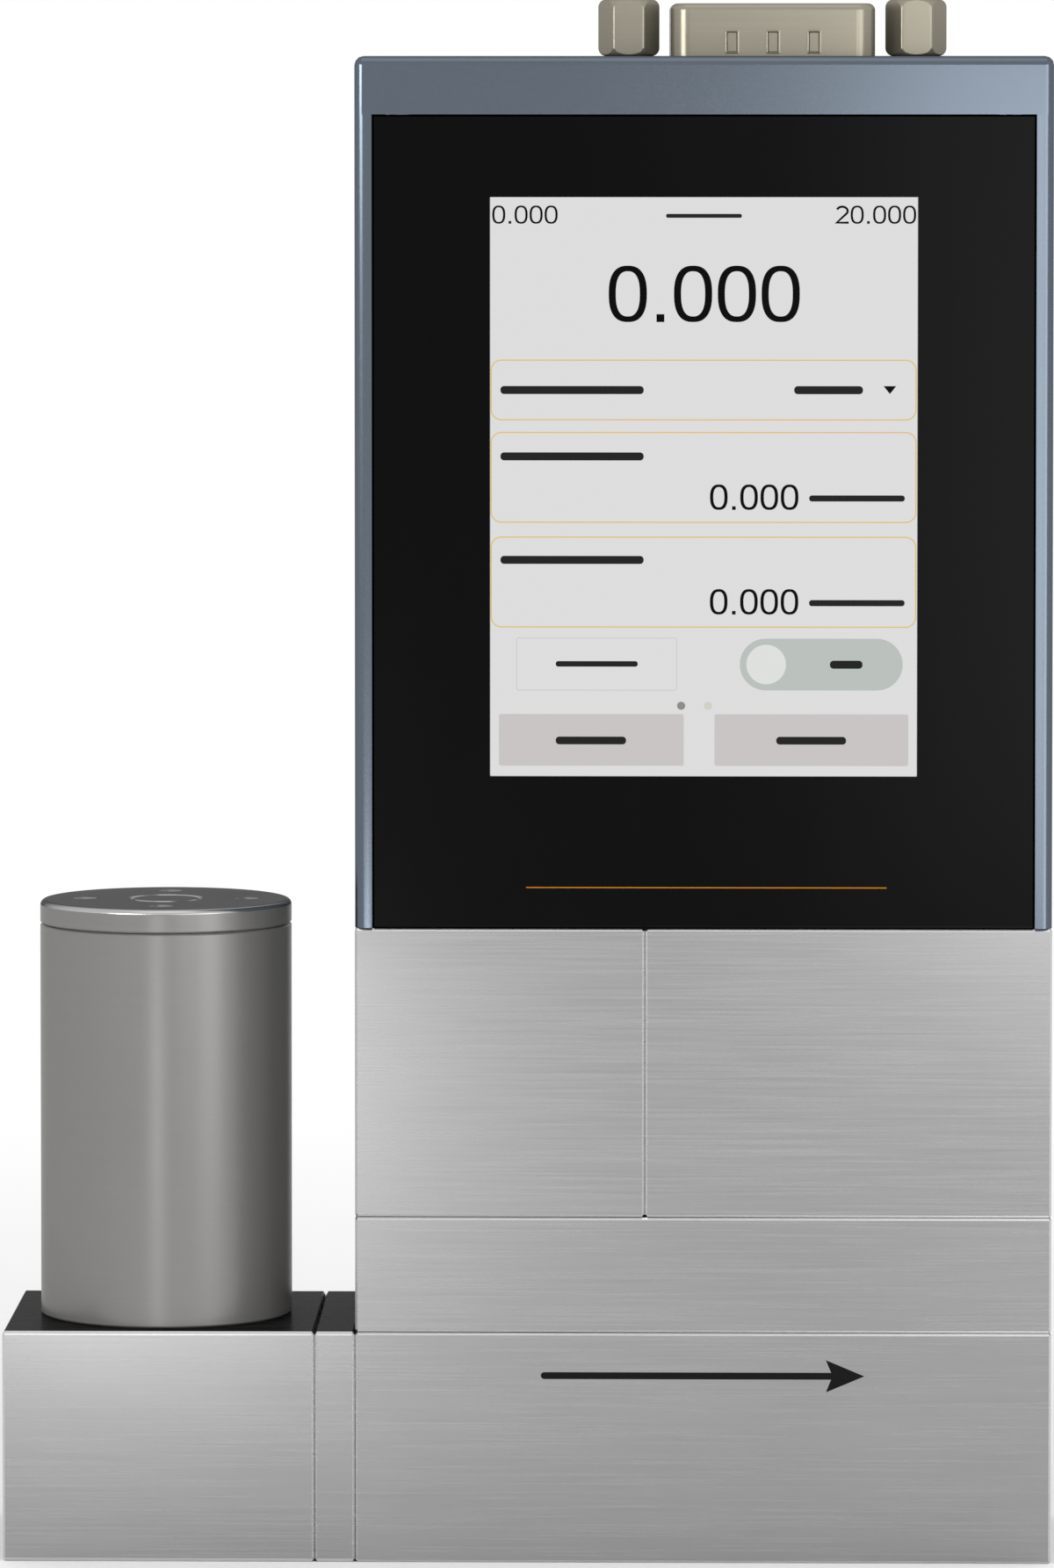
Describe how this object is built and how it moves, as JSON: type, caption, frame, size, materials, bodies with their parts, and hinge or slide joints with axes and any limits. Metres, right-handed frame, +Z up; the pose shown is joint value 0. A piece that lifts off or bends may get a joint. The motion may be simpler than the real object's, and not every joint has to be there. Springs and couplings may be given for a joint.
{
  "type": "gas flow controller",
  "caption": "Upright gas flow controller with a stacked steel flow body, a solenoid valve block at the inlet, a touch screen case and a D-shaped connector on top.",
  "frame": {"origin": "middle of the footprint, on the surface that the base rests on", "axes": "+X with the gas flow, from the inlet to the outlet; +Y to the back, away from the screen; +Z up"},
  "size_m": [0.0904, 0.025, 0.135],
  "materials": {
    "block_steel": "stainless steel with a fine straight brushed grain",
    "case_anodised": "blue-grey anodised aluminium, satin",
    "panel_glass": "black glass, polished",
    "screen": "lit light grey screen under clear glass",
    "connector_nickel": "warm nickel plate",
    "contact_gold": "gold plated contacts",
    "solenoid_steel": "turned stainless steel, satin",
    "screw_steel": "plain screw steel",
    "inner_steel": "machined steel",
    "seal_rubber": "black rubber",
    "circuit_board": "green solder mask",
    "moulded_plastic": "black moulded plastic",
    "ribbon_film": "amber film",
    "winding_copper": "enamelled copper wire"
  },
  "bodies": {
    "housing": {"absolute_pressure_sensor": "moulded_plastic", "adapter_plate": "block_steel", "adapter_seal_inlet_side": "seal_rubber", "adapter_seal_outlet_side": "seal_rubber", "body_screw_1": "screw_steel", "body_screw_2": "screw_steel", "body_screw_3": "screw_steel", "body_screw_4": "screw_steel", "case_screw_1": "screw_steel", "case_screw_2": "screw_steel", "case_screw_3": "screw_steel", "case_screw_4": "screw_steel", "case_shell": "case_anodised", "coil_bobbin": "moulded_plastic", "coil_winding": "winding_copper", "differential_pressure_sensor": "moulded_plastic", "display_module": "screen", "display_ribbon": "ribbon_film", "dsub_insulator": "moulded_plastic", "dsub_pin_1": "contact_gold", "dsub_pin_2": "contact_gold", "dsub_pin_3": "contact_gold", "dsub_pin_4": "contact_gold", "dsub_pin_5": "contact_gold", "dsub_pin_6": "contact_gold", "dsub_pin_7": "contact_gold", "dsub_pin_8": "contact_gold", "dsub_pin_9": "contact_gold", "dsub_shell": "connector_nickel", "element_retainer": "inner_steel", "flow_body": "block_steel", "front_panel": "panel_glass", "guide_tube": "inner_steel", "guide_tube_seal": "seal_rubber", "jackscrew_left": "connector_nickel", "jackscrew_right": "connector_nickel", "laminar_element": "inner_steel", "main_board": "circuit_board", "manifold_plate": "block_steel", "orifice_seat": "inner_steel", "plunger_spring": "inner_steel", "pole_core": "solenoid_steel", "sensor_block_left": "block_steel", "sensor_block_right": "block_steel", "sensor_board": "circuit_board", "solenoid_housing": "solenoid_steel", "solenoid_lid": "solenoid_steel", "tap_seal_absolute": "seal_rubber", "tap_seal_downstream": "seal_rubber", "tap_seal_probe": "seal_rubber", "tap_seal_upstream": "seal_rubber", "temperature_probe": "inner_steel", "top_cap": "case_anodised", "valve_block": "block_steel", "valve_screw_1": "screw_steel", "valve_screw_2": "screw_steel", "valve_screw_3": "screw_steel", "valve_screw_4": "screw_steel"},
    "plunger": {"valve_plunger": "inner_steel", "plunger_seal": "seal_rubber"}
  },
  "joints": [
    {"name": "plunger_lift", "type": "slide", "parent": "housing", "child": "plunger", "axis": [0, 0, 1], "range_m": [0, 0.0004], "stiffness_N_per_m": 500, "springref_m": -0.002, "deforming": ["plunger_spring"]}
  ]
}
